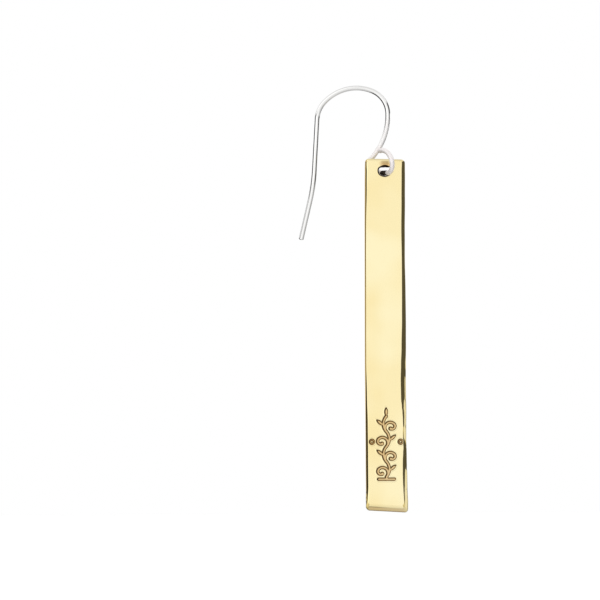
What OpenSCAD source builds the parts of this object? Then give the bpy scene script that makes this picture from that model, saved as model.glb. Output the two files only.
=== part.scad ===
// A long bar earring: a flat polished brass bar that hangs from a bent silver ear wire.
// Millimetres, +Z up. The bar's front face and the flat of the hook look towards -Y.
// The origin is the inside top of the hook, where the ear lobe sits.

/* [Ear wire] */
// Diameter of the silver wire
wire_d = 0.7; // [0.6:0.05:0.75]
// Bend radius of the arch behind its crown
arch_back_r = 6.5; // [6:0.1:7]
// Bend radius of the arch in front of its crown
arch_front_r = 6.0; // [5.5:0.1:6.5]
// Bend radius of both shoulders of the arch
shoulder_r = 3.6; // [3:0.1:4.2]
// Straight run behind the ear, below the back shoulder
tail_run = 7.2; // [4:0.1:10]
// Straight free end that goes through the ear, with a rounded tip
tail_end = 5.8; // [4:0.1:8]
// Outward lean of the free end, in degrees
tail_lean = 10; // [4:1:20]
// Bend radius of the neck that leads down to the eye
neck_r = 9.2; // [8.4:0.1:10]

/* [Eye] */
// Angle between the wire in the hole and the hole's axis
eye_slant = 38; // [36:0.5:41]
// Straight run of wire through the hole
thread_run = 1.7; // [1.5:0.1:1.9]
// How far below the hole's centre the wire runs through it
thread_drop = 0.35; // [0:0.05:0.4]
// Length of the second bend behind the bar against the first
back_ease = 1.0; // [0.8:0.05:1.6]
// Length of the bend over the top of the eye against the bend in front of the bar
front_ease = 1.0; // [0.9:0.05:1.6]
// How far up the neck the cut end of the eye rests
cut_end_up = 1.6; // [1.4:0.1:1.8]
// Gap between the cut end of the eye and the neck
cut_end_gap = 0.06; // [0.04:0.01:0.12]

/* [Bar] */
// Length of the bar
bar_l = 50.3; // [40:0.1:60]
// Width of the bar at its top
bar_top_w = 5.7; // [5:0.1:6.5]
// Width of the bar at its lower end
bar_end_w = 6.1; // [5:0.1:7]
// Thickness of the bar
bar_t = 1.0; // [0.8:0.05:1]
// Rounding of the bar's long and short edges
edge_r = 0.3; // [0.2:0.05:0.4]
// Rounding of the four corners, seen from the front
corner_r = 0.45; // [0.4:0.05:1]
// Skew of both ends, in degrees: they drop towards the right
end_skew = 2; // [0:0.5:3]
// Diameter of the hole
hole_d = 2.0; // [1.9:0.05:2.2]
// From the bar's top edge down to the hole's centre
hole_in = 1.65; // [1.5:0.05:2]

/* [Place of the bar] */
// Hole's centre, to the right of the lobe seat
hole_right = 4.23; // [4.1:0.01:4.3]
// Hole's centre, below the lobe seat
hole_drop = 11.47; // [11.3:0.01:11.6]
// Middle of the bar, in front of the flat of the hook
bar_forward = 1.0; // [0.95:0.01:1.1]

/* [Stamped sprig] */
// Depth of the stamp
stamp_depth = 0.25; // [0.1:0.05:0.4]
// Width of a stamped line
line_w = 0.42; // [0.3:0.02:0.5]
// From the bar's lower end up to the foot of the sprig
sprig_up = 4.6; // [3:0.1:20]
// Height of one wave of the stem
wave_h = 2.15; // [2:0.05:2.4]
// How far one wave of the stem swings out
wave_out = 0.42; // [0.3:0.02:0.5]
// Number of waves
waves = 4; // [2:1:5]

/* [Hidden] */
$fn = 48;

silver = [0.88, 0.88, 0.9];
brass = [0.93, 0.82, 0.5];

wire_r = wire_d / 2;
// A run of wire stops a hair short of its joint, and a bead a hair thicker than the wire closes the joint
hair = 0.012;
bead_r = wire_r * 1.012;
// Turns of the arch and the neck, in degrees
arch_back_turn = 47;
arch_front_turn = 22;
back_shoulder_turn = 39.5;
front_shoulder_turn = 67;
neck_turn = 43.5;
// Radius of the slow bend that leans the free end outwards
lean_r = 27;

right = [1, 0, 0];
down = [0, 0, -1];
crown = [0, 0, wire_r];
hole = [hole_right, -bar_forward, -hole_drop];
thread_dir = [sin(eye_slant), -cos(eye_slant), 0];
// Where the eye's cut end lies as seen from the neck, and the way it points
cut_end_side = [0.75, -0.55, -0.36];
cut_end_dir = unit([-0.7, 0.7, -0.2]);

// Each row is one run of wire: a bend by its radius and turn, or, at radius 0, a straight by its length.
// A negative turn bends the other way.
tail_rows = [
    [arch_back_r, arch_back_turn],
    [shoulder_r, back_shoulder_turn],
    [0, tail_run],
    [lean_r, -tail_lean],
    [0, tail_end],
];
neck_rows = [
    [arch_front_r, arch_front_turn],
    [shoulder_r, front_shoulder_turn],
    [neck_r, neck_turn],
];

// A laid run holds [start, direction, side that it bends towards, radius, turn or length].
START = 0;
DIR = 1;
SIDE = 2;
RADIUS = 3;
AMOUNT = 4;

function unit(v) = v / norm(v);
function is_bend(run) = run[RADIUS] > 0;
function run_centre(run) = run[START] + run[RADIUS] * run[SIDE];
function point_along(run, turn) =
    run_centre(run) + run[RADIUS] * (sin(turn) * run[DIR] - cos(turn) * run[SIDE]);
function dir_along(run, turn) = cos(turn) * run[DIR] + sin(turn) * run[SIDE];
function side_along(run, turn) = cos(turn) * run[SIDE] - sin(turn) * run[DIR];
function end_point(run) =
    is_bend(run) ? point_along(run, run[AMOUNT]) : run[START] + run[AMOUNT] * run[DIR];
function end_dir(run) = is_bend(run) ? dir_along(run, run[AMOUNT]) : run[DIR];
function end_side(run) = is_bend(run) ? side_along(run, run[AMOUNT]) : run[SIDE];

// Lays the rows of a table end to end, in one plane
function laid(rows, start, dir, side, i = 0) =
    i == len(rows) ? [] :
    let (
        way = rows[i][1] < 0 ? -1 : 1,
        run = [start, dir, way * side, rows[i][0], abs(rows[i][1])]
    )
    concat([run], laid(rows, end_point(run), end_dir(run), way * end_side(run), i + 1));

// The one bend that leaves a point in a given direction and ends at another point
function bend_to(from, dir, to) =
    let (
        chord = to - from,
        side = unit(chord - (chord * dir) * dir),
        half_turn = acos(chord * dir / norm(chord))
    )
    [from, dir, side, norm(chord) / (2 * sin(half_turn)), 2 * half_turn];

// Two bends that meet smoothly and lead from one point and direction to another.
// Their tangents have the lengths d and ease * d, and the line between the tangents' ends is (1 + ease) * d long.
function two_bends(from, dir, to, to_dir, ease) =
    let (
        chord = to - from,
        both = dir + ease * to_dir,
        a = both * both - (1 + ease) * (1 + ease),
        b = -2 * (chord * both),
        c = chord * chord,
        d = (-b - sqrt(b * b - 4 * a * c)) / (2 * a),
        meet = (ease * (from + d * dir) + to - ease * d * to_dir) / (1 + ease),
        first = bend_to(from, dir, meet)
    )
    [first, bend_to(meet, end_dir(first), to)];

tail = laid(tail_rows, crown, -right, down);
neck = laid(neck_rows, crown, right, down);
neck_end = neck[len(neck) - 1];
thread = [hole + thread_drop * down - thread_run / 2 * thread_dir, thread_dir, -down, 0, thread_run];
behind_bar = two_bends(end_point(neck_end), end_dir(neck_end), thread[START], thread_dir, back_ease);
// The point of the neck that the cut end rests against
rest_turn = neck_turn - cut_end_up / neck_r * 180 / PI;
rest_dir = dir_along(neck_end, rest_turn);
off_neck = unit(cut_end_side - (cut_end_side * rest_dir) * rest_dir);
cut_end = point_along(neck_end, rest_turn) + (wire_r + cut_end_gap) * off_neck;
before_bar = two_bends(end_point(thread), thread_dir, cut_end, cut_end_dir, front_ease);
wire_runs = concat(tail, neck, behind_bar, [thread], before_bar);

// The matrix that puts the local X, Y and Z axes on three directions, at a point
function placed(x, y, z, at) = [
    [x[0], y[0], z[0], at[0]],
    [x[1], y[1], z[1], at[1]],
    [x[2], y[2], z[2], at[2]],
    [0, 0, 0, 1],
];

module straight_run(run)
{
    at = run[START] + hair * run[DIR];
    multmatrix(placed(run[SIDE], cross(run[DIR], run[SIDE]), run[DIR], at))
        cylinder(h = run[AMOUNT] - 2 * hair, r = wire_r);
}

module bent_run(run)
{
    hair_turn = hair / run[RADIUS] * 180 / PI;
    multmatrix(placed(-run[SIDE], run[DIR], cross(run[DIR], run[SIDE]), run_centre(run)))
        rotate([0, 0, hair_turn])
            rotate_extrude(angle = run[AMOUNT] - 2 * hair_turn)
                translate([run[RADIUS], 0])
                    circle(r = wire_r);
}

module joint_bead(at)
{
    translate(at)
        sphere(r = bead_r);
}

module ear_wire()
{
    color(silver)
    union()
    {
        for (run = wire_runs)
        {
            if (is_bend(run))
                bent_run(run);
            else
                straight_run(run);
        }
        for (run = concat(tail, neck, behind_bar, [thread]))
            joint_bead(end_point(run));
        joint_bead(crown);
        joint_bead(end_point(before_bar[0]));
    }
}

// The bar in its own frame: the hole's centre is the origin, X across, Z up, front face at -Y.
bar_top = hole_in;
bar_foot = hole_in - bar_l;
bar_mid = (bar_top + bar_foot) / 2;
side_lean = atan((bar_end_w - bar_top_w) / 2 / bar_l);
mean_w = (bar_top_w + bar_end_w) / 2;
// Stock that is cut down to the bar, and how far the corner cutter stands off the sides
stock = 80;
standoff = 0.02;

// Flat stock whose left edge is rounded: the edge is the Z axis, and the stock lies towards +X
module edged_stock()
{
    translate([0, 0, -stock / 2])
        linear_extrude(height = stock)
        {
            translate([edge_r, -bar_t / 2])
                square([stock, bar_t]);
            translate([0, edge_r - bar_t / 2])
                square([stock, bar_t - 2 * edge_r]);
            for (y = [edge_r - bar_t / 2, bar_t / 2 - edge_r])
                translate([edge_r, y])
                    circle(r = edge_r);
        }
}

module corner_cutter()
{
    low_w = bar_end_w / 2 + standoff;
    top_w = bar_top_w / 2 + standoff;
    skew_rise = tan(end_skew);
    // column: x, z, and the way in to the corner's centre
    corners = [
        [-low_w, bar_foot + low_w * skew_rise, 1, 1],
        [low_w, bar_foot - low_w * skew_rise, -1, 1],
        [top_w, bar_top - top_w * skew_rise, -1, -1],
        [-top_w, bar_top + top_w * skew_rise, 1, -1],
    ];
    rotate([90, 0, 0])
        linear_extrude(height = 2 * bar_t, center = true)
        {
            polygon([for (c = corners) [c[0] + c[2] * corner_r, c[1] - c[3] * standoff]]);
            polygon([for (c = corners) [c[0], c[1] + c[3] * corner_r]]);
            for (c = corners)
                translate([c[0] + c[2] * corner_r, c[1] + c[3] * (corner_r - standoff)])
                    circle(r = corner_r);
        }
}

module bar_blank()
{
    intersection()
    {
        translate([-mean_w / 2, 0, bar_mid])
            rotate([0, side_lean, 0])
                edged_stock();
        translate([mean_w / 2, 0, bar_mid])
            rotate([0, -side_lean, 180])
                edged_stock();
        translate([0, 0, bar_top])
            rotate([0, 90 + end_skew, 0])
                edged_stock();
        translate([0, 0, bar_foot])
            rotate([0, end_skew - 90, 0])
                edged_stock();
        corner_cutter();
    }
}

// The sprig in its own flat frame: X across, Y up, its foot at the origin.
wave_r = (wave_h * wave_h / 4 + wave_out * wave_out) / (2 * wave_out);
wave_turn = asin(wave_h / 2 / wave_r);
root_h = 0.35;
bead_d = line_w * 1.1;
tendril_r = 0.78;
curl_r = 0.42;
curl_turn = 165;
berry_r = 0.27;
leaf_l = 1.3;
leaf_r = 1.0;
leaf_lean = 50;
// Heights of the leaves in their wave and of the side rings on the stem, as shares
leaf_at = 0.4;
ring_at = 0.62;
foot_w = 2.3;
side_ring_out = 2.07;
side_ring_r = 0.42;

// A stamped arc round the origin, from one angle to another, with a bead at both ends
module stamped_arc(r, from, to)
{
    steps = 6;
    far = 3 * r;
    intersection()
    {
        difference()
        {
            circle(r = r + line_w / 2);
            circle(r = r - line_w / 2);
        }
        polygon(concat([[0, 0]], [for (i = [0:steps]) let (a = from + (to - from) * i / steps)
            [far * cos(a), far * sin(a)]]));
    }
    for (a = [from, to])
        translate([r * cos(a), r * sin(a)])
            circle(d = bead_d);
}

// A leaf whose stalk is the origin, pointing up
module stamped_leaf()
{
    lens_in = sqrt(leaf_r * leaf_r - leaf_l * leaf_l / 4);
    translate([0, leaf_l / 2])
        intersection()
        {
            translate([-lens_in, 0])
                circle(r = leaf_r);
            translate([lens_in, 0])
                circle(r = leaf_r);
        }
}

// A tendril that leaves the origin upwards and curls to -X round its berry
module tendril()
{
    curl_end = 180 + curl_turn;
    translate([-tendril_r, 0])
        stamped_arc(tendril_r, 0, 180);
    translate([curl_r - 2 * tendril_r, 0])
    {
        stamped_arc(curl_r, 180, curl_end);
        translate([curl_r * cos(curl_end), curl_r * sin(curl_end)])
            circle(r = berry_r);
    }
}

// One wave of the stem that swings to +X, with a leaf outside it and a tendril inside it
module sprig_wave()
{
    translate([wave_out - wave_r, wave_h / 2])
        stamped_arc(wave_r, -wave_turn, wave_turn);
    translate([wave_out, wave_h * leaf_at])
        rotate(-leaf_lean)
            stamped_leaf();
    rotate(-wave_turn)
        tendril();
}

module sprig()
{
    translate([-foot_w / 2, -line_w / 2])
        square([foot_w, line_w]);
    for (side = [-1, 1])
        translate([side * foot_w / 2, 0])
            circle(d = bead_d);
    translate([-line_w / 2, 0])
        square([line_w, root_h]);
    translate([0, root_h])
    {
        for (i = [0:waves - 1])
            translate([0, i * wave_h])
                mirror([i % 2, 0])
                    sprig_wave();
        translate([0, waves * wave_h])
            stamped_leaf();
    }
    for (side = [-1, 1])
        translate([side * side_ring_out, waves * wave_h * ring_at])
            difference()
            {
                circle(r = side_ring_r);
                circle(r = side_ring_r / 3);
            }
}

module bar()
{
    color(brass)
    translate(hole)
        difference()
        {
            bar_blank();
            rotate([90, 0, 0])
                cylinder(h = 3 * bar_t, r = hole_d / 2, center = true);
            translate([0, stamp_depth - bar_t / 2, bar_foot + sprig_up])
                rotate([90, 0, 0])
                    linear_extrude(height = bar_t)
                        sprig();
        }
}

ear_wire();
bar();
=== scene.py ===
import math

import bpy
import numpy as np
from mathutils import Matrix


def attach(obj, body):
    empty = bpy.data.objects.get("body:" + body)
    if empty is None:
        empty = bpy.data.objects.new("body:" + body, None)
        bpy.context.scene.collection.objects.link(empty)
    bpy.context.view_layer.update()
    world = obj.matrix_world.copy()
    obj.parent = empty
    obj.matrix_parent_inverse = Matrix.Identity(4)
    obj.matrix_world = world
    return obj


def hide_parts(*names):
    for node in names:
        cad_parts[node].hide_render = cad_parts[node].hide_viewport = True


# A bar earring: a polished brass bar that hangs by its hole from the open eye of a bent silver ear wire.
# Shapes are worked out in millimetres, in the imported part's frame: +Z up, the bar's front face towards -Y,
# the origin at the inside top of the hook. They are turned to metres when they become a mesh.
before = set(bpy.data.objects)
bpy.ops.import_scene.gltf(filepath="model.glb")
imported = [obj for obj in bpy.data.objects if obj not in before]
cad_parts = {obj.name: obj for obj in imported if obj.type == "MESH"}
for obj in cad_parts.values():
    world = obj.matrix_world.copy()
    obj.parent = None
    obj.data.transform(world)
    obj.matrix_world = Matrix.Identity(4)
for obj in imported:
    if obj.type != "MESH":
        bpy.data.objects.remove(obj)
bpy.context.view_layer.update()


# ---------------------------------------------------------------- small helpers

def smooth(x, low, high):
    """0 up to low, 1 from high on, and 3s^2 - 2s^3 between, where s is the share of the way."""
    s = np.clip((np.asarray(x, float) - low) / (high - low), 0, 1)
    return s * s * (3 - 2 * s)


def unit(v):
    """A vector made 1 long."""
    return np.asarray(v, float) / np.linalg.norm(v)


def along(rows, at):
    """Columns 1 and on of a table, read at the places in column 0. Between two rows each value follows
    3s^2 - 2s^3, so one filed facet fades into the next without a crease."""
    rows = np.asarray(rows, float)
    at = np.clip(np.asarray(at, float), rows[0, 0], rows[-1, 0])
    k = np.clip(np.searchsorted(rows[:, 0], at, side="right") - 1, 0, len(rows) - 2)
    s = smooth((at - rows[k, 0]) / (rows[k + 1, 0] - rows[k, 0]), 0, 1)[..., None]
    return np.moveaxis((1 - s) * rows[k, 1:] + s * rows[k + 1, 1:], -1, 0)


def linear(code):
    """An sRGB hex colour as linear light, with full alpha."""
    c = np.array([int(code[i:i + 2], 16) for i in (1, 3, 5)]) / 255
    c = np.where(c <= 0.04045, c / 12.92, ((c + 0.055) / 1.055) ** 2.4)
    return (*c.tolist(), 1.0)


def add(tree, kind, inputs=None, **settings):
    """Adds a shader node. Settings are its properties; inputs go by socket to a value or another socket."""
    made = tree.nodes.new(kind)
    for key, value in settings.items():
        setattr(made, key, value)
    for key, value in (inputs or {}).items():
        if isinstance(value, bpy.types.NodeSocket):
            tree.links.new(value, made.inputs[key])
        else:
            made.inputs[key].default_value = value
    return made


def grid_quads(index):
    """The four-sided faces of a grid of vertex numbers, each turning from the first axis to the second."""
    return np.stack([index[:-1, :-1], index[1:, :-1], index[1:, 1:], index[:-1, 1:]], -1).reshape(-1, 4)


def piece_from(name, points, quads, tris, material):
    """A smooth-shaded piece from millimetre points and arrays of four-sided and three-sided faces. Points
    that no face uses are dropped. Gives the piece and the numbers of the points that stay."""
    used, corners = np.unique(np.concatenate([quads.ravel(), tris.ravel()]), return_inverse=True)
    sizes = np.concatenate([np.full(len(quads), 4), np.full(len(tris), 3)])
    mesh = bpy.data.meshes.new(name)
    mesh.vertices.add(len(used))
    mesh.vertices.foreach_set("co", (points[used] / 1000).astype(np.float32).ravel())
    mesh.loops.add(len(corners))
    mesh.loops.foreach_set("vertex_index", corners.ravel().astype(np.int32))
    mesh.polygons.add(len(sizes))
    mesh.polygons.foreach_set("loop_start", np.concatenate([[0], np.cumsum(sizes)[:-1]]).astype(np.int32))
    mesh.polygons.foreach_set("use_smooth", np.ones(len(sizes), bool))
    mesh.update(calc_edges=True)
    mesh.materials.append(material)
    piece = bpy.data.objects.new(name, mesh)
    bpy.context.scene.collection.objects.link(piece)
    return piece, used


def mark(piece, name, values):
    """Gives each point of a piece a value, under a name that the piece's material reads."""
    field = piece.data.attributes.new(name, "FLOAT", "POINT")
    field.data.foreach_set("value", values.astype(np.float32))


# ---------------------------------------------------------------- camera

# The picture is 600 x 600, with 7 pixels to the millimetre at the earring, from 9.4 degrees to its right.
PICTURE = 600
PIXELS_PER_MM = 7.0
CAMERA_FAR = 1500.0
SENSOR = 36.0
azimuth = math.radians(9.386)
roll = math.radians(0.341)
flat_right = np.array([math.cos(azimuth), math.sin(azimuth), 0])
straight_up = np.array([0.0, 0.0, 1.0])
forward = np.array([-math.sin(azimuth), math.cos(azimuth), 0])
# The point in the middle of the picture
aim = -8.259 * flat_right - 29.880 * straight_up

camera_data = bpy.data.cameras.new("camera")
camera_data.sensor_width = SENSOR
camera_data.lens = SENSOR * PIXELS_PER_MM * CAMERA_FAR / PICTURE
camera_data.clip_start = 0.01
camera_data.clip_end = 20
camera_data.dof.use_dof = False
camera = bpy.data.objects.new("camera", camera_data)
bpy.context.scene.collection.objects.link(camera)
stand = np.eye(4)
stand[:3, 0] = math.cos(roll) * flat_right - math.sin(roll) * straight_up
stand[:3, 1] = math.sin(roll) * flat_right + math.cos(roll) * straight_up
stand[:3, 2] = -forward
stand[:3, 3] = (aim - CAMERA_FAR * forward) / 1000
camera.matrix_world = Matrix(stand.tolist())
bpy.context.scene.camera = camera


# ---------------------------------------------------------------- light and floor

def studio_world():
    """Plain white to the camera and to the paper. To the metal it is a soft studio that only depends on the
    direction: a level round the horizon, greyer overhead and below, times a few dark flags with soft edges."""
    # Light by azimuth (0 is the front, 90 the right, -90 the left) and by elevation
    round_horizon = [(-180, 1.0), (-165, 0.9), (-100, 0.9), (-60, 1.2), (-30, 1.3), (-12, 1.01),
                     (0, 1.01), (25, 1.1), (70, 1.15), (100, 0.9), (150, 0.8), (168, 0.95), (180, 1.0)]
    floor_to_ceiling = [(-90, 0.50), (-75, 0.52), (-55, 0.72), (-32, 0.76), (-14, 0.86), (-5, 1.0), (10, 1.0),
                        (45, 1.0), (66, 0.88), (90, 0.74)]
    # Dark flags: azimuth from and to, elevation from and to, soft edge, light left
    flags = [
        # On the right, and lower on the right
        (50, 118, -13, 32, 6, 0.13),
        (112, 162, 1.3, 30, 2, 0.08),
        (112, 162, -8, -1.3, 2, 0.08),
        (112, 162, -16, -5, 2, 0.40),
        (112, 162, -34, -14, 4, 0.10),
        (45, 165, -62, -7, 8, 0.68),
        # On the left, a little above that, and below
        (-92, -56, -24, 13, 7, 0.25),
        (-166, -78, -24, 11, 7, 0.08),
        (-175, -30, 4, 13, 4, 0.45),
        (-60, -6, 5, 16, 3, 0.75),
        (-165, -52, -62, -4, 8, 0.06),
        (-66, -14, -68, -24, 8, 0.72),
    ]
    world = bpy.data.worlds.new("soft studio")
    world.use_nodes = True
    t = world.node_tree
    t.nodes.clear()
    way = add(t, "ShaderNodeSeparateXYZ", {0: add(t, "ShaderNodeTexCoord").outputs["Generated"]}).outputs
    to_viewer = add(t, "ShaderNodeMath", {0: way["Y"], 1: -1.0}, operation="MULTIPLY").outputs[0]
    turn = add(t, "ShaderNodeMath", {0: way["X"], 1: to_viewer}, operation="ARCTAN2").outputs[0]
    turn = add(t, "ShaderNodeMath", {0: turn}, operation="DEGREES").outputs[0]
    rise = add(t, "ShaderNodeMath", {0: way["Z"]}, operation="ARCSINE").outputs[0]
    rise = add(t, "ShaderNodeMath", {0: rise}, operation="DEGREES").outputs[0]

    # A colour ramp holds no more than 1, so both tables go in halved and the light starts at 4
    light = 4.0
    for angle, table in ((turn, round_horizon), (rise, floor_to_ceiling)):
        share = add(t, "ShaderNodeMapRange", {0: angle, 1: -180.0, 2: 180.0, 3: 0.0, 4: 1.0}).outputs[0]
        ramp = add(t, "ShaderNodeValToRGB", {0: share})
        ramp.color_ramp.interpolation = "EASE"
        stops = ramp.color_ramp.elements
        stops.remove(stops[1])
        for i, (at, level) in enumerate(table):
            stop = stops[0] if i == 0 else stops.new(0.5)
            stop.position = (at + 180) / 360
            stop.color = (level / 2, level / 2, level / 2, 1)
        light = add(t, "ShaderNodeMath", {0: light, 1: ramp.outputs[0]}, operation="MULTIPLY").outputs[0]
    for turn_from, turn_to, rise_from, rise_to, soft, left in flags:
        inside = 1.0
        for angle, low, high in ((turn, turn_from, turn_to), (rise, rise_from, rise_to)):
            for edge, way_in in ((low, 1), (high, -1)):
                gate = add(t, "ShaderNodeMapRange", {0: angle, 1: float(edge), 2: float(edge + way_in * soft),
                                                     3: 0.0, 4: 1.0}, interpolation_type="SMOOTHSTEP").outputs[0]
                inside = add(t, "ShaderNodeMath", {0: inside, 1: gate}, operation="MULTIPLY").outputs[0]
        kept = add(t, "ShaderNodeMix", {0: inside, 2: 1.0, 3: left}, data_type="FLOAT").outputs[0]
        light = add(t, "ShaderNodeMath", {0: light, 1: kept}, operation="MULTIPLY").outputs[0]
    # The paper gets a little more than white, so that it shows no grey
    path = add(t, "ShaderNodeLightPath").outputs
    plain = add(t, "ShaderNodeMix", {0: path["Is Camera Ray"], 2: 1.15, 3: 1.0}, data_type="FLOAT").outputs[0]
    light = add(t, "ShaderNodeMix", {0: path["Is Glossy Ray"], 2: plain, 3: light}, data_type="FLOAT").outputs[0]
    back = add(t, "ShaderNodeBackground", {"Color": (1, 1, 1, 1), "Strength": light})
    add(t, "ShaderNodeOutputWorld", {"Surface": back.outputs[0]})
    bpy.context.scene.world = world


def white_floor():
    """A round sheet of matt white paper below the earring. The metal doesn't mirror it."""
    sides, reach, height = 96, 1200.0, -85.0
    turn = np.linspace(0, 2 * math.pi, sides + 1)[:-1]
    rim = np.stack([reach * np.cos(turn), reach * np.sin(turn), np.full(sides, height)], 1)
    points = np.concatenate([rim, [[0, 0, height]]])
    k = np.arange(sides)
    tris = np.stack([k, (k + 1) % sides, np.full(sides, sides)], 1)
    paper = bpy.data.materials.new("matt white paper")
    paper.use_nodes = True
    surface = paper.node_tree.nodes["Principled BSDF"]
    surface.inputs["Base Color"].default_value = linear("#F8F8F6")
    surface.inputs["Roughness"].default_value = 0.9
    floor, _ = piece_from("floor", points, np.zeros((0, 4), int), tris, paper)
    floor.visible_glossy = False


bpy.context.scene.view_settings.view_transform = "Standard"
studio_world()
white_floor()


# ---------------------------------------------------------------- metals

def polished_brass():
    """Yellow brass, cut from flat stock, filed and polished by hand: a warm light mirror with faint cloudy
    tints and fine lengthwise polishing lines. A thin tan film is left on the filed edge, a deep gold tint and
    dark brown in the stamped lines and round the hole, and the back has a satin finish. The dark brown is
    patina and painted shade; the deep gold in the stamped lines is painted warm shade."""
    m = bpy.data.materials.new("hand polished brass")
    m.use_nodes = True
    t = m.node_tree
    surface = t.nodes["Principled BSDF"]
    here = add(t, "ShaderNodeTexCoord").outputs["Object"]
    # Cloudy tint, 9 mm from cloud to cloud, and places where all of it is warmer
    cloud = add(t, "ShaderNodeTexNoise", {"Vector": here, "Scale": 110.0, "Detail": 2.0, "Roughness": 0.5})
    cloud = add(t, "ShaderNodeMapRange", {0: cloud.outputs["Fac"], 1: 0.38, 2: 0.62, 3: 0.0, 4: 0.4}).outputs[0]
    warm = add(t, "ShaderNodeAttribute", attribute_name="warm").outputs["Fac"]
    cloud = add(t, "ShaderNodeMath", {0: cloud, 1: warm}, operation="ADD").outputs[0]
    tint = add(t, "ShaderNodeMix", {0: cloud, 6: linear("#FFF3C6"), 7: linear("#F8E2A2")},
               data_type="RGBA").outputs[2]
    # Patina and painted shade, with a grain of 0.4 mm, over the deep gold tint, over the film
    patina_and_shade = add(t, "ShaderNodeAttribute", attribute_name="patina_and_shade").outputs["Fac"]
    mottle = add(t, "ShaderNodeTexNoise", {"Vector": here, "Scale": 2600.0, "Detail": 3.0})
    mottle = add(t, "ShaderNodeMapRange", {0: mottle.outputs["Fac"], 1: 0.3, 2: 0.7, 3: 0.75, 4: 1.0}).outputs[0]
    stain_and_shade = add(t, "ShaderNodeMath", {0: patina_and_shade, 1: mottle}, operation="MULTIPLY").outputs[0]
    film = add(t, "ShaderNodeAttribute", attribute_name="film").outputs["Fac"]
    tint = add(t, "ShaderNodeMix", {0: film, 6: tint, 7: linear("#C9B26A")}, data_type="RGBA").outputs[2]
    deep = add(t, "ShaderNodeAttribute", attribute_name="deep").outputs["Fac"]
    tint = add(t, "ShaderNodeMix", {0: deep, 6: tint, 7: linear("#B97F2E")}, data_type="RGBA").outputs[2]
    # Dark brown for patina and painted shade
    colour = add(t, "ShaderNodeMix", {0: stain_and_shade, 6: tint, 7: linear("#3B2812")}, data_type="RGBA").outputs[2]
    t.links.new(colour, surface.inputs["Base Color"])
    surface.inputs["Metallic"].default_value = 1.0
    # Polishing lines: 0.06 mm apart across the bar and 4 mm long, coarser than the real ones so that they show
    stretch = add(t, "ShaderNodeMapping", {"Vector": here, "Scale": (17000.0, 17000.0, 250.0)}).outputs[0]
    lines = add(t, "ShaderNodeTexNoise", {"Vector": stretch, "Scale": 1.0, "Detail": 2.0}).outputs["Fac"]
    rough = add(t, "ShaderNodeMapRange", {0: lines, 1: 0.3, 2: 0.7, 3: 0.05, 4: 0.11}).outputs[0]
    # Where patina and painted shade lie the brass is dull, and so is the satin back
    rough = add(t, "ShaderNodeMix", {0: stain_and_shade, 2: rough, 3: 0.42}, data_type="FLOAT").outputs[0]
    satin = add(t, "ShaderNodeAttribute", attribute_name="satin").outputs["Fac"]
    rough = add(t, "ShaderNodeMix", {0: satin, 2: rough, 3: 0.5}, data_type="FLOAT").outputs[0]
    t.links.new(rough, surface.inputs["Roughness"])
    bump = add(t, "ShaderNodeBump", {"Strength": 0.06, "Distance": 0.00002, "Height": lines})
    t.links.new(bump.outputs[0], surface.inputs["Normal"])
    return m


def drawn_silver():
    """Sterling silver wire, drawn through a plate, bent and polished: a white mirror with fine lines along
    the wire. It is matt and whiter where the pliers worked the eye, and where it lies in the hole it is painted
    dark brown as painted shadow. The lines follow the wire, so they read its own vector of place round and along it."""
    m = bpy.data.materials.new("drawn sterling silver")
    m.use_nodes = True
    t = m.node_tree
    surface = t.nodes["Principled BSDF"]
    drawn = add(t, "ShaderNodeAttribute", attribute_name="drawn").outputs["Vector"]
    cloud = add(t, "ShaderNodeTexNoise", {"Vector": drawn, "Scale": 0.35, "Detail": 2.0})
    tint = add(t, "ShaderNodeMix", {0: cloud.outputs["Fac"], 6: linear("#FDFCFA"), 7: linear("#F1F1F0")},
               data_type="RGBA").outputs[2]
    worked = add(t, "ShaderNodeAttribute", attribute_name="worked").outputs["Fac"]
    tint = add(t, "ShaderNodeMix", {0: worked, 6: tint, 7: linear("#FDF8F7")}, data_type="RGBA").outputs[2]
    # Painted shadow: dark brown where the wire lies in the hole
    hole_shadow = add(t, "ShaderNodeAttribute", attribute_name="hole_shadow").outputs["Fac"]
    tint = add(t, "ShaderNodeMix", {0: hole_shadow, 6: tint, 7: linear("#3A2C1E")}, data_type="RGBA").outputs[2]
    t.links.new(tint, surface.inputs["Base Color"])
    sheen = add(t, "ShaderNodeMix", {0: worked, 2: 1.0, 3: 0.80}, data_type="FLOAT").outputs[0]
    t.links.new(sheen, surface.inputs["Metallic"])
    # Drawing lines: 0.08 mm apart round the wire and 3 mm long, coarser than the real ones so that they show
    stretch = add(t, "ShaderNodeMapping", {"Vector": drawn, "Scale": (12.0, 12.0, 0.35)}).outputs[0]
    lines = add(t, "ShaderNodeTexNoise", {"Vector": stretch, "Scale": 1.0, "Detail": 2.0}).outputs["Fac"]
    rough = add(t, "ShaderNodeMapRange", {0: lines, 1: 0.3, 2: 0.7, 3: 0.05, 4: 0.12}).outputs[0]
    rough = add(t, "ShaderNodeMix", {0: worked, 2: rough, 3: 0.62}, data_type="FLOAT").outputs[0]
    t.links.new(rough, surface.inputs["Roughness"])
    bump = add(t, "ShaderNodeBump", {"Strength": 0.08, "Distance": 0.00002, "Height": lines})
    t.links.new(bump.outputs[0], surface.inputs["Normal"])
    return m


# ---------------------------------------------------------------- ear wire

WIRE_R = 0.35
HOLE = np.array([4.23, -1.0, -11.47])
CROWN = np.array([0, 0, WIRE_R])
TO_RIGHT = np.array([1.0, 0, 0])
DOWN = np.array([0, 0, -1.0])


def run_at(run, share):
    """Points and headings of one run of wire at shares of it. A straight is start + share * length * heading.
    A bend is start + radius * side + radius * (sin a * heading - cos a * side), with a = share * turn."""
    start, heading, side, radius, amount = run
    a = np.atleast_1d(share)[:, None] * amount
    if radius == 0:
        return start + a * heading, np.repeat(heading[None], len(a), 0)
    points = start + radius * side + radius * (np.sin(a) * heading - np.cos(a) * side)
    return points, np.cos(a) * heading + np.sin(a) * side


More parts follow.
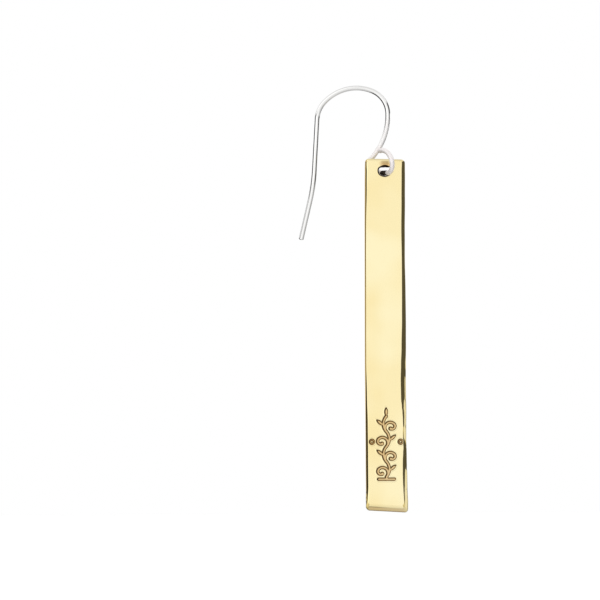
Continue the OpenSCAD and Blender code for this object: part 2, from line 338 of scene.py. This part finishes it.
def run_end(run):
    """The point, heading and side that a run ends with."""
    point, heading = run_at(run, 1)
    side = run[2] if run[3] == 0 else math.cos(run[4]) * run[2] - math.sin(run[4]) * run[1]
    return point[0], heading[0], side


def laid(rows, start, heading, side):
    """Lays rows of (radius, turn in degrees) and (0, length) end to end in one plane; a negative turn bends
    to the other side."""
    runs = []
    for radius, amount in rows:
        way = -1 if amount < 0 else 1
        runs.append((start, heading, way * side, radius, math.radians(abs(amount)) if radius else amount))
        start, heading, side = run_end(runs[-1])
        side = way * side
    return runs


def bend_to(start, heading, goal):
    """The one bend that leaves a point in a given direction and ends at another point."""
    chord = goal - start
    reach = np.linalg.norm(chord)
    half_turn = math.acos(chord @ heading / reach)
    return start, heading, unit(chord - (chord @ heading) * heading), reach / (2 * math.sin(half_turn)), 2 * half_turn


def two_bends(start, heading, goal, goal_heading, ease):
    """Two bends that meet smoothly. Their tangents are d and ease * d long, where d solves
    |goal - start - d * (heading + ease * goal_heading)| = (1 + ease) * d."""
    chord = goal - start
    both = heading + ease * goal_heading
    a = both @ both - (1 + ease) ** 2
    b = -2 * chord @ both
    d = (-b - math.sqrt(b * b - 4 * a * (chord @ chord))) / (2 * a)
    meet = (ease * (start + d * heading) + goal - ease * d * goal_heading) / (1 + ease)
    first = bend_to(start, heading, meet)
    return [first, bend_to(meet, run_end(first)[1], goal)]


def ear_wire_runs():
    """The tail from the crown to the free tip, and the neck and eye from the crown to the eye's cut end. The
    eye's wire goes straight through the hole, 0.35 mm below its centre, for thread_run millimetres."""
    tail = laid([(6.5, 47), (3.6, 39.5), (0, 7.2), (27, -10), (0, 5.52)], CROWN, -TO_RIGHT, DOWN)
    neck = laid([(6.0, 22), (3.6, 67), (9.2, 43.5)], CROWN, TO_RIGHT, DOWN)
    slant, thread_run = math.radians(38), 1.7
    through = np.array([math.sin(slant), -math.cos(slant), 0])
    thread = (HOLE + 0.35 * DOWN - thread_run / 2 * through, through, -DOWN, 0, thread_run)
    behind_bar = two_bends(*run_end(neck[-1])[:2], thread[0], through, 1.0)
    # The eye's cut end rests 1.6 mm up the neck, 0.06 mm off it
    radius, turn = neck[-1][3:]
    point, heading = run_at(neck[-1], 1 - 1.6 / (radius * turn))
    off = np.array([0.75, -0.55, -0.36])
    off = unit(off - (off @ heading[0]) * heading[0])
    before_bar = two_bends(*run_end(thread)[:2], point[0] + (WIRE_R + 0.06) * off, unit([-0.7, 0.7, -0.2]), 1.0)
    return tail, neck + behind_bar + [thread] + before_bar


def stations(runs, step):
    """Points, headings and carried side vectors down a list of runs. Within a bend the carried vector keeps
    its parts along the bend's own side and axis, so it never twists."""
    carried = np.array([0, 1.0, 0])
    points, headings, carrieds = [], [], []
    for run in runs:
        start, heading, side, radius, amount = run
        length = amount * (radius or 1)
        share = np.linspace(0, 1, max(4, math.ceil(length / step)) + 1)
        at, way = run_at(run, share)
        turn = share[:, None] * (amount if radius else 0)
        axis = np.cross(heading, side)
        swung = (carried @ side) * (np.cos(turn) * side - np.sin(turn) * heading) + (carried @ axis) * axis
        carried = swung[-1]
        points.append(at[:-1])
        headings.append(way[:-1])
        carrieds.append(swung[:-1])
    points.append(at[-1:])
    headings.append(way[-1:])
    carrieds.append(swung[-1:])
    return np.concatenate(points), np.concatenate(headings), np.concatenate(carrieds)


def ear_wire(material):
    """A round of radius r swept along the wire: point + r * (cos u * side + sin u * across). The free tip is a
    low dome, tip * sin t beyond the end with radius r * cos t; the eye's cut end is flat with its rim rounded."""
    around, cap_rings = 64, 4
    tip_high, rim = 0.15, 0.07
    tail, rest = ear_wire_runs()
    back = [a[::-1] for a in stations(tail, 0.1)]
    ahead = stations(rest, 0.07)
    points = np.concatenate([back[0][:-1], ahead[0]])
    headings = np.concatenate([-back[1][:-1], ahead[1]])
    sides = np.concatenate([back[2][:-1], ahead[2]])
    place = np.concatenate([[0], np.cumsum(np.linalg.norm(np.diff(points, axis=0), axis=1))])
    t = np.linspace(0, math.pi / 2, 14)[1:-1]
    r_ahead = np.concatenate([np.full(len(points), WIRE_R), WIRE_R - rim + rim * np.cos(t),
                              (WIRE_R - rim) * np.linspace(1, 0.25, cap_rings)])
    past = np.concatenate([np.zeros(len(points)), rim * np.sin(t) - rim, np.zeros(cap_rings)])
    r = np.concatenate([(WIRE_R * np.cos(t))[::-1], r_ahead])
    past = np.concatenate([(-tip_high * np.sin(t))[::-1], past])
    pick = np.concatenate([np.zeros(len(t), int), np.arange(len(points)),
                           np.full(len(t) + cap_rings, len(points) - 1)])
    middle = points[pick] + past[:, None] * headings[pick]
    across = np.cross(headings[pick], sides[pick])
    u = np.linspace(0, 2 * math.pi, around + 1)[:-1]
    ring = np.cos(u)[None, :, None] * sides[pick][:, None] + np.sin(u)[None, :, None] * across[:, None]
    skin = middle[:, None] + r[:, None, None] * ring
    drawn = np.stack(np.broadcast_arrays(r[:, None] * np.cos(u), r[:, None] * np.sin(u),
                                         (place[pick] + past)[:, None]), -1)
    count = len(r)
    index = np.arange(count * around).reshape(count, around)
    index = np.concatenate([index, index[:, :1]], 1)
    tip, cut = count * around, count * around + 1
    all_points = np.concatenate([skin.reshape(-1, 3), [points[0] - tip_high * headings[0]], [points[-1]]])
    all_drawn = np.concatenate([drawn.reshape(-1, 3), [[0, 0, -tip_high]], [[0, 0, place[-1]]]])
    quads = grid_quads(index)[:, ::-1]
    tris = np.concatenate([
        np.stack([index[0, 1:], index[0, :-1], np.full(around, tip)], 1),
        np.stack([index[-1, :-1], index[-1, 1:], np.full(around, cut)], 1),
    ])
    piece, used = piece_from("silver_wire", all_points, quads, tris, material)
    field = piece.data.attributes.new("drawn", "FLOAT_VECTOR", "POINT")
    field.data.foreach_set("vector", all_drawn[used].astype(np.float32).ravel())
    # Painted shadow: the wire is painted dark brown where it lies in the hole, all of it up to
    # 1.05 mm from the hole's axis and 0.5 mm from its middle, and none from 0.2 and 0.25 mm farther on
    off = all_points[used] - HOLE
    in_hole = smooth(1.25 - np.hypot(off[:, 0], off[:, 2]), 0, 0.2) * smooth(0.75 - np.abs(off[:, 1] + 0.1), 0, 0.25)
    mark(piece, "hole_shadow", 0.97 * in_hole)
    # Pliers have dulled the wire a little from the middle of the neck down, and more through the eye
    down = -all_points[used, 2]
    dulled = (0.35 * smooth(down, 3.6, 4.6) + 0.65 * smooth(down, 7.6, 8.4)) * smooth(all_points[used, 0], 0.5, 1.5)
    mark(piece, "worked", dulled)
    # The photographed bar doesn't mirror the wire
    piece.visible_glossy = False
    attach(piece, "ear_wire")
    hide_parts("ear_wire")


ear_wire(drawn_silver())


# ---------------------------------------------------------------- bar
# The bar's own frame: its hole's centre is the origin, x across, z up, front face at y = -0.5.

THICK = 1.0
TOP, FOOT = 1.65, -48.65
# The short edges slope down to the right, and the lower one lies a little lower than the bar's length says
TOP_SKEW, FOOT_SKEW = math.tan(math.radians(2)), math.tan(math.radians(3.2))
FOOT_LOWER = 0.06


def half_width(z):
    """Half of the bar's width: 2.85 at its top edge, 3.05 at its lower end."""
    return 2.85 + 0.2 * (TOP - z) / (TOP - FOOT)


# How the filed long edges change up the bar. Columns: height above the lower end; how far the edge is worn
# in from the straight outline; width of the whole filed edge seen from the front; the inner facet's share
# of that width; depth where the inner facet ends; depth of the outermost ridge; softness of the three
# corners (face to facet, facet to facet, ridge).
RIGHT_EDGE = [
    (0.0, 0.00, 0.60, 0.22, 0.08, 0.25, 0.08, 0.08, 0.12),
    (1.4, -0.02, 0.60, 0.22, 0.13, 0.28, 0.05, 0.06, 0.10),
    (2.3, 0.02, 0.56, 0.28, 0.18, 0.31, 0.05, 0.05, 0.08),
    (3.1, 0.06, 0.56, 0.38, 0.24, 0.37, 0.05, 0.05, 0.08),
    (4.8, 0.08, 0.60, 0.45, 0.31, 0.43, 0.05, 0.05, 0.08),
    (5.5, 0.09, 0.60, 0.50, 0.35, 0.46, 0.05, 0.05, 0.08),
    (6.3, 0.16, 0.50, 0.86, 0.60, 0.66, 0.06, 0.05, 0.08),
    (7.4, 0.17, 0.48, 0.88, 0.61, 0.68, 0.06, 0.05, 0.08),
    (8.6, 0.17, 0.41, 0.90, 0.56, 0.62, 0.06, 0.05, 0.08),
    (9.2, 0.18, 0.36, 0.88, 0.46, 0.52, 0.05, 0.04, 0.08),
    (9.9, 0.16, 0.40, 0.28, 0.09, 0.20, 0.05, 0.05, 0.08),
    (11.3, 0.14, 0.50, 0.26, 0.08, 0.22, 0.05, 0.05, 0.08),
    (12.5, 0.14, 0.45, 0.36, 0.18, 0.28, 0.05, 0.05, 0.08),
    (13.4, 0.13, 0.47, 0.42, 0.24, 0.34, 0.05, 0.05, 0.08),
    (14.3, 0.12, 0.53, 0.38, 0.25, 0.36, 0.05, 0.05, 0.08),
    (15.2, 0.14, 0.60, 0.46, 0.33, 0.44, 0.05, 0.05, 0.08),
    (16.1, 0.18, 0.64, 0.69, 0.53, 0.60, 0.06, 0.06, 0.08),
    (18.7, 0.18, 0.67, 0.69, 0.55, 0.62, 0.06, 0.06, 0.08),
    (21.0, 0.18, 0.60, 0.85, 0.60, 0.85, 0.06, 0.08, 0.08),
    (23.5, 0.13, 0.55, 0.92, 0.66, 0.74, 0.06, 0.05, 0.08),
    (27.5, 0.10, 0.47, 0.92, 0.66, 0.72, 0.06, 0.05, 0.08),
    (31.6, 0.11, 0.42, 0.92, 0.62, 0.68, 0.06, 0.05, 0.08),
    (36.0, 0.15, 0.36, 0.92, 0.54, 0.60, 0.06, 0.05, 0.08),
    (40.0, 0.13, 0.41, 0.92, 0.60, 0.66, 0.06, 0.05, 0.08),
    (44.4, 0.06, 0.41, 0.92, 0.60, 0.66, 0.06, 0.05, 0.08),
    (48.5, 0.02, 0.40, 0.92, 0.60, 0.66, 0.06, 0.05, 0.08),
    (50.3, 0.00, 0.34, 0.92, 0.52, 0.58, 0.06, 0.05, 0.08),
]
LEFT_EDGE = [
    (0.0, 0.02, 0.34, 0.60, 0.05, 0.12, 0.16, 0.10, 0.12),
    (1.0, 0.02, 0.36, 0.60, 0.14, 0.17, 0.10, 0.05, 0.04),
    (2.2, 0.00, 0.43, 0.84, 0.35, 0.37, 0.08, 0.04, 0.02),
    (8.0, -0.03, 0.42, 0.84, 0.34, 0.36, 0.08, 0.04, 0.02),
    (12.4, -0.05, 0.40, 0.80, 0.32, 0.345, 0.08, 0.04, 0.02),
    (16.7, -0.07, 0.32, 0.68, 0.20, 0.23, 0.08, 0.04, 0.02),
    (21.0, -0.09, 0.24, 0.50, 0.11, 0.145, 0.08, 0.04, 0.02),
    (30.3, -0.09, 0.24, 0.48, 0.11, 0.145, 0.08, 0.04, 0.02),
    (40.3, -0.09, 0.26, 0.54, 0.13, 0.165, 0.08, 0.04, 0.02),
    (46.7, -0.07, 0.35, 0.66, 0.21, 0.245, 0.08, 0.04, 0.02),
    (48.8, -0.05, 0.35, 0.66, 0.20, 0.235, 0.08, 0.04, 0.02),
    (50.3, 0.00, 0.28, 0.70, 0.14, 0.17, 0.08, 0.04, 0.04),
]
# The two short edges, from the third column on
TOP_EDGE = (0.20, 0.60, 0.12, 0.35, 0.10, 0.06, 0.12)
LOW_EDGE = (1.00, 0.44, 0.035, 0.27, 0.25, 0.08, 0.20)
# The back edge: how far it leans in, and its softness
BACK_ROUND, BACK_SOFT = 0.16, 0.1
# Radii of the outline's corners at the ridge, where the filed edge meets the face, and at the back
RIDGE_CORNER, FACE_CORNER, BACK_CORNER = 0.55, 0.3, 0.25
# The round of the hole's rims
HOLE_WORN = 0.12

# Rows up the long edges, (height share from, to, rows): close at the stamp and at the hole
ROW_BANDS = [(0.0, 2.2, 8), (2.2, 14.6, 222), (14.6, 47.1, 80), (47.1, 50.3, 26)]
COLUMNS = 88
CORNER_STEPS = 5
# Rows of the edge's section for each of its four corners, and the row in the middle of the ridge
SECTION_ROWS = 6
RIDGE_ROW = 2 * SECTION_ROWS + SECTION_ROWS // 2


def edge_rows():
    """Shares of the bar's height at which the mesh has its rows."""
    parts = [np.linspace(low, high, n + 1)[:-1] for low, high, n in ROW_BANDS]
    length = ROW_BANDS[-1][1]
    return np.append(np.concatenate(parts), length) / length


def rounded_corner(a, corner, b):
    """The points between a and b on a cubic curve that leaves a and reaches b along the two edges. With k as
    it is, the curve round a square corner is a quarter of a circle."""
    k = 0.5523
    t = np.linspace(0, 1, 2 * CORNER_STEPS + 1)[1:-1, None]
    p1, p2 = a + k * (corner - a), b + k * (corner - b)
    return (1 - t) ** 3 * a + 3 * t * (1 - t) ** 2 * p1 + 3 * t * t * (1 - t) * p2 + t ** 3 * b


def bar_loop(left, right, low, top, radius):
    """The bar's outline moved inwards, anticlockwise from the lower left corner. left and right give the
    inset at a height above the lower end; low and top are the insets of the ends."""
    def corner_of(inset, way, end, end_in):
        x = way * (half_width(end) - inset(end - FOOT))
        return np.array([x, end - x * (TOP_SKEW if end == TOP else FOOT_SKEW) + end_in])

    bl, br = corner_of(left, -1, FOOT, low), corner_of(right, 1, FOOT, low)
    tl, tr = corner_of(left, -1, TOP, -top), corner_of(right, 1, TOP, -top)
    share = edge_rows()
    across = np.linspace(0, 1, COLUMNS + 1)

    def long_side(inset, way, z_low, z_high):
        z = z_low + radius + (z_high - z_low - 2 * radius) * share
        return np.stack([way * (half_width(z) - inset(z - FOOT)), z], 1)

    def short_side(a, b):
        x = a[0] + radius + (b[0] - a[0] - 2 * radius) * across
        return np.stack([x, a[1] + (b[1] - a[1]) * (x - a[0]) / (b[0] - a[0])], 1)

    lower, upper = short_side(bl, br), short_side(tl, tr)[::-1]
    right_side, left_side = long_side(right, 1, br[1], tr[1]), long_side(left, -1, bl[1], tl[1])[::-1]
    loop = np.concatenate([
        lower, rounded_corner(lower[-1], br, right_side[0]),
        right_side, rounded_corner(right_side[-1], tr, upper[0]),
        upper, rounded_corner(upper[-1], tl, left_side[0]),
        left_side, rounded_corner(left_side[-1], bl, lower[0]),
    ])
    return np.roll(loop, CORNER_STEPS, axis=0)


def edge_values(heights):
    """The filed edge's values for each point of the outline: the long sides from their tables, the ends from
    their rows, and an even blend round each corner."""
    blend = np.linspace(0, 1, 2 * CORNER_STEPS + 1)[1:-1, None]
    right = along(RIGHT_EDGE, heights).T[:, 1:]
    left = along(LEFT_EDGE, heights).T[::-1, 1:]
    low = np.repeat([LOW_EDGE], COLUMNS + 1, 0)
    top = np.repeat([TOP_EDGE], COLUMNS + 1, 0)
    parts = []
    for this, following in ((low, right), (right, top), (top, left), (left, low)):
        parts += [this, (1 - blend) * this[-1] + blend * following[0]]
    return np.roll(np.concatenate(parts), CORNER_STEPS, axis=0)


def filed_profile(values):
    """The edge's section at each point of the outline, from the front face round to the back. Its four
    corners, in (distance out, depth), are face, facet, ridge and back; each is a curve
    corner + (1 - u)^2 * back along the way in + u^2 * forward along the way out."""
    width, inner, depth, ridge, soft_face, soft_facet, soft_ridge = values.T
    zero = np.zeros_like(width)
    corners = np.stack([
        np.stack([-width, zero], 1),
        np.stack([-width * (1 - inner), depth], 1),
        np.stack([zero, ridge], 1),
        np.stack([zero - BACK_ROUND, zero + THICK], 1),
    ])
    legs = np.diff(corners, axis=0)
    length = np.linalg.norm(legs, axis=2, keepdims=True)
    legs = legs / length
    out, back = np.zeros_like(legs[:1]), np.zeros_like(legs[:1])
    out[..., 0], back[..., 0] = 1, -1
    way_in, way_out = np.concatenate([out, legs]), np.concatenate([legs, back])
    soft = np.stack([soft_face, soft_facet, soft_ridge, zero + BACK_SOFT])[..., None]
    room = np.concatenate([zero[None, :, None] + 1, 0.48 * length, zero[None, :, None] + 1])
    soft = np.minimum(soft, np.minimum(room[:-1], room[1:]))
    u = np.linspace(0, 1, SECTION_ROWS)[:, None, None]
    rows = [c - (1 - u) ** 2 * s * a + u ** 2 * s * b for c, s, a, b in zip(corners, soft, way_in, way_out)]
    return np.concatenate(rows)


# The stamped sprig, in its own frame: x across, y up from its foot. First its lines' width and depth, how far
# its foot is above the bar's lower end and how far the foot reaches to each side; then the height, swing and
# number of its waves, each one arc of a circle.
LINE, STAMP_DEEP = 0.42, 0.25
SPRIG_UP = 4.6
FOOT_REACH = 1.15
WAVE, SWING, WAVES = 2.15, 0.42, 4
WAVE_R = (WAVE ** 2 / 4 + SWING ** 2) / (2 * SWING)
WAVE_TURN = math.asin(WAVE / 2 / WAVE_R)
ROOT = 0.35
TENDRIL_R, CURL_R, BERRY_R = 0.78, 0.42, 0.27
CURL_END = math.radians(345)
LEAF, LEAF_R, LEAF_LEAN = 1.3, 1.0, math.radians(50)
RING_ACROSS, RING_UP, RING_R, RING_LINE = 2.07, WAVES * WAVE * 0.62, 0.28, 0.28
FAR = 9.0


def turned(x, y, angle):
    """A place as seen in a frame that is turned anticlockwise by the angle."""
    return x * math.cos(angle) + y * math.sin(angle), y * math.cos(angle) - x * math.sin(angle)


def off_arc(x, y, r, a0, a1):
    """Distance outside a stamped arc of the given radius about the origin, with its two end beads."""
    middle = (a0 + a1) / 2
    turn = (np.arctan2(y, x) - middle + math.pi) % (2 * math.pi) - math.pi
    on = np.where(np.abs(turn) <= (a1 - a0) / 2, np.abs(np.hypot(x, y) - r) - LINE / 2, FAR)
    beads = [np.hypot(x - r * math.cos(a), y - r * math.sin(a)) - 0.55 * LINE for a in (a0, a1)]
    return np.minimum(on, np.minimum(*beads))


def off_leaf(x, y):
    """Distance outside a pointed leaf that stands on the origin: the lens that two circles share."""
    lens_in = math.sqrt(LEAF_R ** 2 - LEAF ** 2 / 4)
    y = y - LEAF / 2
    return np.maximum(np.hypot(x + lens_in, y), np.hypot(x - lens_in, y)) - LEAF_R


def off_sprig(x, y):
    """Distance outside the stamped sprig: the least of the distances from its foot, stem, waves, leaves,
    tendrils and two side rings."""
    off = np.hypot(x - np.clip(x, -FOOT_REACH, FOOT_REACH), y) - LINE / 2
    off = np.minimum(off, np.hypot(x, y - np.clip(y, 0, ROOT)) - LINE / 2)
    for i in range(WAVES):
        wx, wy = x * (-1) ** i, y - ROOT - i * WAVE
        off = np.minimum(off, off_arc(wx - SWING + WAVE_R, wy - WAVE / 2, WAVE_R, -WAVE_TURN, WAVE_TURN))
        off = np.minimum(off, off_leaf(*turned(wx - SWING, wy - 0.4 * WAVE, -LEAF_LEAN)))
        tx, ty = turned(wx, wy, -WAVE_TURN)
        off = np.minimum(off, off_arc(tx + TENDRIL_R, ty, TENDRIL_R, 0, math.pi))
        tx = tx - CURL_R + 2 * TENDRIL_R
        off = np.minimum(off, off_arc(tx, ty, CURL_R, math.pi, CURL_END))
        berry = np.hypot(tx - CURL_R * math.cos(CURL_END), ty - CURL_R * math.sin(CURL_END))
        off = np.minimum(off, berry - BERRY_R)
    off = np.minimum(off, off_leaf(x, y - ROOT - WAVES * WAVE))
    ring = np.hypot(np.abs(x) - RING_ACROSS, y - RING_UP)
    return np.minimum(off, np.abs(ring - RING_R) - RING_LINE / 2)


def stamp_depth(x, z):
    """Depth of the stamped lines: 0.25 mm with walls 0.15 mm wide, and a lip 0.025 mm high where the punch
    pushed the brass up beside them."""
    off = off_sprig(x, z - FOOT - SPRIG_UP)
    return STAMP_DEEP * smooth(-off, -0.04, 0.11) - 0.025 * np.exp(-((off - 0.11) / 0.06) ** 2)


def face_wave(x, z):
    """Hand polishing leaves the face about a hundredth of a millimetre out of flat, in two long waves that
    fade out at its sides. Above the hole the wire has rubbed a saddle: 0.15 mm deep at the rim, and it rises
    as the square of the way out."""
    wave = 0.006 * np.sin(0.55 * z + 0.8 * x + 0.6) + 0.004 * np.sin(1.1 * z - 1.3 * x + 2.0)
    return wave * smooth(2.9 - np.abs(x), 0, 0.6) + 0.15 * saddle(x, z)


def saddle(x, z):
    """1 at the rim of the hole, a little right of its top, down to 0 at 0.6 mm from the rim."""
    off = np.clip(1 - (np.hypot(x, z) - 1) / 0.6, 0, 1)
    return off ** 2 * smooth(np.cos(np.arctan2(z, x) - math.radians(76)), 0.5, 0.98)


def inside_of(loop, nx, nz):
    """A grid of points inside a closed outline: the blend of its four sides, less the blend of its corners."""
    lower, right = loop[:nx + 1], loop[nx:nx + nz + 1]
    upper = loop[nx + nz:2 * nx + nz + 1][::-1]
    left = np.concatenate([loop[2 * nx + nz:], loop[:1]])[::-1]
    u = np.linspace(0, 1, nx + 1)[:, None, None]
    v = np.linspace(0, 1, nz + 1)[None, :, None]
    corners = ((1 - u) * (1 - v) * lower[0] + u * (1 - v) * lower[-1]
               + (1 - u) * v * upper[0] + u * v * upper[-1])
    return (1 - v) * lower[:, None] + v * upper[:, None] + (1 - u) * left[None] + u * right[None] - corners


def border(grid):
    """The outermost points of a grid, anticlockwise from its first."""
    return np.concatenate([grid[:, 0], grid[-1, 1:], grid[-2::-1, -1], grid[0, -2:0:-1]])


def hole_rings(start, finish):
    """Rings of points from the window in the front grid, through the hole, to the window in the back grid. A
    ring is (r cos a, y, r sin a) at the angles a of a window's points. The rings run over the face to the
    rim, round it, down the bore and round its back edge. Tarnish on the top and the bottom of the bore
    narrows its front rim and, more so, its waist."""
    def ring(r, y, base):
        angle = np.arctan2(base[:, 2], base[:, 0])
        return np.stack([r * np.cos(angle), np.broadcast_to(y, r.shape), r * np.sin(angle)], 1)

    angle = np.arctan2(start[:, 2], start[:, 0])
    at_top, at_bottom = smooth(np.sin(angle), 0.2, 1), smooth(np.sin(-angle), 0.5, 1)
    # Radii of the clean bore, of its front rim and of its waist
    clean = np.full(len(start), 0.97)
    rim = clean - 0.24 * at_top - 0.11 * at_bottom
    waist = rim - 0.25 * at_top - 0.11 * at_bottom - 0.03
    first = ring(rim + HOLE_WORN, -THICK / 2, start)
    rings = []
    for s in (0.3, 0.55, 0.78, 1.0):
        rings.append(start + s * (first - start))
        rings[-1][:, 1] = -THICK / 2
    for a in np.radians([15, 30, 45, 60, 75, 90]):
        rings.append(ring(rim + HOLE_WORN * (1 - math.sin(a)), -THICK / 2 + HOLE_WORN * (1 - math.cos(a)), start))
    for at in rings:
        at[:, 1] += face_wave(at[:, 0], at[:, 2])
    # Down the bore: depth, share of the way to the waist, and the radius that the share starts from
    bore = [(-0.18, 0.35, rim), (-0.1, 0.75, rim), (0.02, 1.0, rim), (0.2, 0.8, clean), (0.34, 0.4, clean)]
    for y, share, mouth in bore:
        rings.append(ring(mouth + share * (waist - mouth), y, start))
    for a in np.radians([0, 22, 45, 67, 90]):
        rings.append(ring(clean + HOLE_WORN * (1 - math.cos(a)), THICK / 2 - HOLE_WORN * (1 - math.sin(a)), start))
    last = ring(clean + HOLE_WORN, THICK / 2, finish)
    for s in (0.25, 0.5, 0.75):
        rings.append(last + s * (finish - last))
    return np.stack(rings)


def bar_marks(points, outer, inner_share, front_at, back_at, edge_at, bore_at):
    """How much of each surface mark every point of the bar carries: patina and painted shade, deep gold tint
    (partly painted warm shade), tan film, warm tint and satin finish."""
    patina_and_shade, deep, film, warm, satin = np.zeros((5, len(points)))

    # Of the rings through the hole, the first 5 lie in the face, the next 10 line the bore and the last 4 lie
    # in the back
    in_face, lining, in_back = bore_at[:5], bore_at[5:-8], bore_at[-4:]
    # The bore's lining is dark brown: patina and painted shade
    patina_and_shade[lining] = 1.3
    for at in (back_at, edge_at[19:], in_back):
        satin[at] = 1

    # A deeper gold tint over the saddle above the hole
    for at in (front_at, in_face):
        deep[at] = 0.6 * np.sqrt(saddle(points[at, 0], points[at, 2]))

    # The walls of the stamped lines hold patina and painted shade, and the deepest tint, which is painted warm
    # shade. More painted shade lies on the left and the upper walls.
    x, z = points[front_at, 0], points[front_at, 2]
    sunk = np.clip(stamp_depth(x, z) / STAMP_DEEP, 0, 1)
    wall = 4 * sunk * (1 - sunk)
    near = 0.08
    left = np.clip(stamp_depth(x + near, z) - stamp_depth(x - near, z), 0, STAMP_DEEP) / STAMP_DEEP
    upper = np.clip(stamp_depth(x, z - near) - stamp_depth(x, z + near), 0, STAMP_DEEP) / STAMP_DEEP
    patina_and_shade[front_at] = np.clip(0.40 * wall + 0.65 * (left + 0.7 * upper), 0, 1)
    deep[front_at] = np.maximum(deep[front_at], np.maximum(wall, 0.50 * sunk))

    # Six rows of points round each corner of the filed edge: the face's corner less one (rows 0 to 4), the
    # corner between the facets (5 to 10), the ridge (11 to 16) and the back's corner less one
    inner_facet, bevel_line, outer_facet, ridge_line = edge_at[3:9], edge_at[6:10], edge_at[9:17], edge_at[12:17]
    side = 2.7
    on_left, on_end = outer[:, 0] < -side, np.abs(outer[:, 0]) < side
    on_low = on_end & (outer[:, 1] < 0)

    # The film: even on the left edge, almost none on the ends, none on the lower bevel's outer facet, and less
    # on the right edge's outer facet where that is wide and was rubbed bright
    inner_film, outer_film = np.full(len(outer), 0.8), 0.4 + 0.4 * smooth(inner_share, 0.6, 0.85)
    outer_film[on_left] = 0.8
    inner_film[on_end], outer_film[on_end] = 0.1, 0.2
    film[inner_facet], film[outer_facet] = inner_film, outer_film
    film[outer_facet[:4, on_low]] = 0

    # A thin darker line where the lower bevel starts, most of it on the left, and a painted shadow along its ridge
    patina_and_shade[bevel_line[:, on_low]] = 0.10 + 0.50 * smooth(-outer[on_low, 0], -1.0, 2.2)
    patina_and_shade[ridge_line[:, on_low]] = 0.42
    deep[outer_facet[:, on_low]] = 0.33
    for facet in (inner_facet, outer_facet):
        deep[facet[:, on_left]] = 0.25 * smooth(outer[on_left, 1] - FOOT, 1.5, 4)

    # The brass has a warmer tint over its top fifth and down the left of its lower two thirds
    warm += 0.35 * smooth(points[:, 2] + 0.3 * points[:, 0], -10.4, -8.2)
    warm += 0.3 * smooth(-points[:, 2], 15.0, 18.0) * smooth(-points[:, 0], -0.5, 2.0)
    return {"patina_and_shade": patina_and_shade, "deep": deep, "film": film, "warm": warm, "satin": satin}


def brass_bar(material):
    """The front and back are grids inside the outline; the filed edge is a strip of sections between them;
    round the hole, rings of points lead from the grid to the rim, down the bore and out to the back grid."""
    share = edge_rows()
    nx, nz = COLUMNS + 2 * CORNER_STEPS, len(share) - 1 + 2 * CORNER_STEPS
    profile = edge_values(share * (TOP - FOOT))
    section = filed_profile(profile)
    width_in, back_in = -section[0, :, 0], BACK_ROUND + BACK_SOFT

    def loop_at(face_share, back_share, low, top, radius):
        """The outline moved in by its wear and by a share of the filed edge in front or of the back round."""
        def inset_from(rows):
            def inset(h):
                v = along(rows, h)
                soft = np.minimum(v[5], 0.48 * np.hypot(v[1] * v[2], v[3]))
                return v[0] + face_share * (v[1] + soft) + back_share * back_in
            return inset
        return bar_loop(inset_from(LEFT_EDGE), inset_from(RIGHT_EDGE), low, top, radius)

    outer = loop_at(0, 0, -FOOT_LOWER, 0, RIDGE_CORNER)
    inner = loop_at(1, 0, LOW_EDGE[0] + LOW_EDGE[4], TOP_EDGE[0] + TOP_EDGE[4], FACE_CORNER)
    behind = loop_at(0, 1, back_in, back_in, BACK_CORNER)

    front_grid, back_grid = inside_of(inner, nx, nz), inside_of(behind, nx, nz)
    x, z = np.moveaxis(front_grid, 2, 0)
    front = np.stack([x, -THICK / 2 + stamp_depth(x, z) + face_wave(x, z), z], -1)
    back = np.stack([back_grid[..., 0], np.full(x.shape, THICK / 2), back_grid[..., 1]], -1)
    front_at = np.arange(x.size).reshape(x.shape)
    back_at = front_at + x.size

    # The edge: distance out of each section point as a share of the way from the inner to the outer loop
    out = section[..., 0]
    ahead = np.arange(len(section))[:, None] < RIDGE_ROW
    share_in = np.where(ahead, -out / width_in, -out / back_in)[..., None]
    flat = outer + share_in * (np.where(ahead[..., None], inner, behind) - outer)
    edge = np.stack([flat[..., 0], section[..., 1] - THICK / 2, flat[..., 1]], -1)[1:-1]
    edge_at = 2 * x.size + np.arange(edge[..., 0].size).reshape(edge.shape[:2])
    strip = np.concatenate([border(front_at)[None], edge_at, border(back_at)[None]])
    strip = np.concatenate([strip, strip[:, :1]], 1)

    # The hole: a window in both grids, about 1.34 mm to each side of the hole's centre, closed by rings. The
    # grid lines next to it are found on a row beside the hole, 30 rows from the top, and on the middle column.
    half = 1.34
    x_row, z_row = front_grid[:, nz - 30, 0], front_grid[nx // 2, :, 1]
    i0, i1 = np.searchsorted(x_row, [-half, half])
    j0, j1 = np.searchsorted(z_row, [-half, half + 0.02]) - [0, 1]

    def window(grid):
        return border(grid[i0:i1 + 1, j0:j1 + 1])

    bore = hole_rings(window(front), window(back))
    bore_at = edge_at.max() + 1 + np.arange(bore[..., 0].size).reshape(bore.shape[:2])
    sleeve = np.concatenate([window(front_at)[None], bore_at, window(back_at)[None]]).T
    sleeve = np.concatenate([sleeve, sleeve[:1]])

    def without_window(quads):
        keep = np.ones((nx, nz), bool)
        keep[i0:i1, j0:j1] = False
        return quads[keep.ravel()]

    quads = np.concatenate([
        without_window(grid_quads(front_at)),
        without_window(grid_quads(back_at))[:, ::-1],
        grid_quads(strip),
        grid_quads(sleeve),
    ])
    points = np.concatenate([part.reshape(-1, 3) for part in (front, back, edge, bore)])
    marks = bar_marks(points, outer, profile[:, 1], front_at, back_at, edge_at, bore_at)
    piece, used = piece_from("brass_bar", points + HOLE, quads, np.zeros((0, 3), int), material)
    for name, values in marks.items():
        mark(piece, name, values[used])
    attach(piece, "bar")
    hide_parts("bar")


brass_bar(polished_brass())
